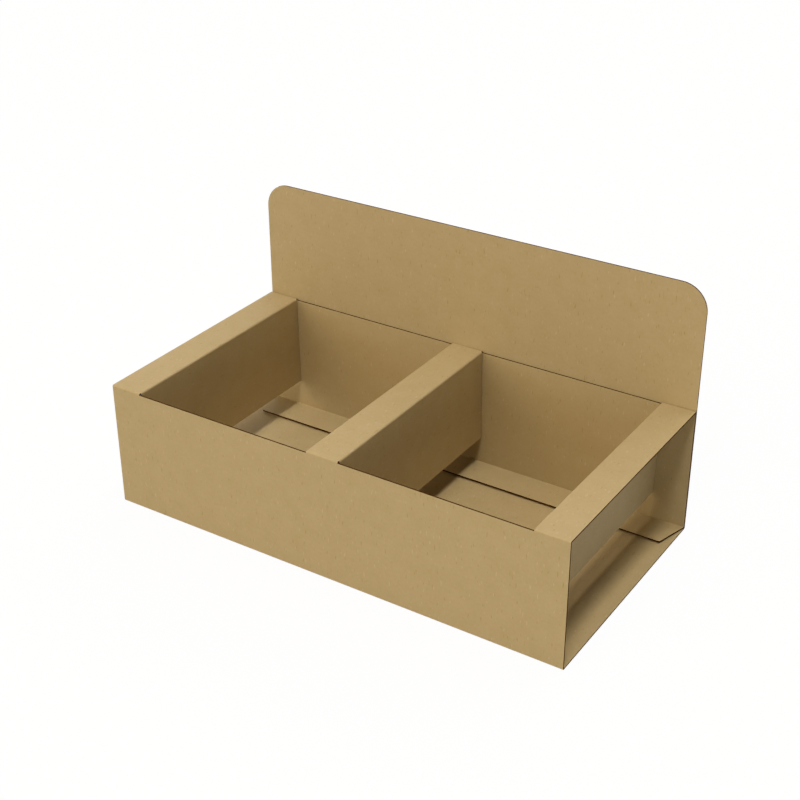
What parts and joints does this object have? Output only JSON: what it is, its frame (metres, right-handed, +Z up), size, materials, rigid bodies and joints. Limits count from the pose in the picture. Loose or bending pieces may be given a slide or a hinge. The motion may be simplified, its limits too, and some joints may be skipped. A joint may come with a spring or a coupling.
{
  "type": "cardboard display stand",
  "caption": "Counter display stand folded from one sheet of kraft board: open-ended sleeve with open-topped compartments between strips and a raised header with rounded corners.",
  "frame": {"origin": "middle of the footprint, on the surface that the stand rests on", "axes": "+Z up, X along the width, the front panel faces -Y and the header stands on the +Y side"},
  "size_m": [0.3, 0.1554, 0.1566],
  "materials": {
    "kraft_board": "matt uncoated kraft"
  },
  "bodies": {
    "root": {"folded_card_blank": "kraft_board"}
  },
  "joints": []
}
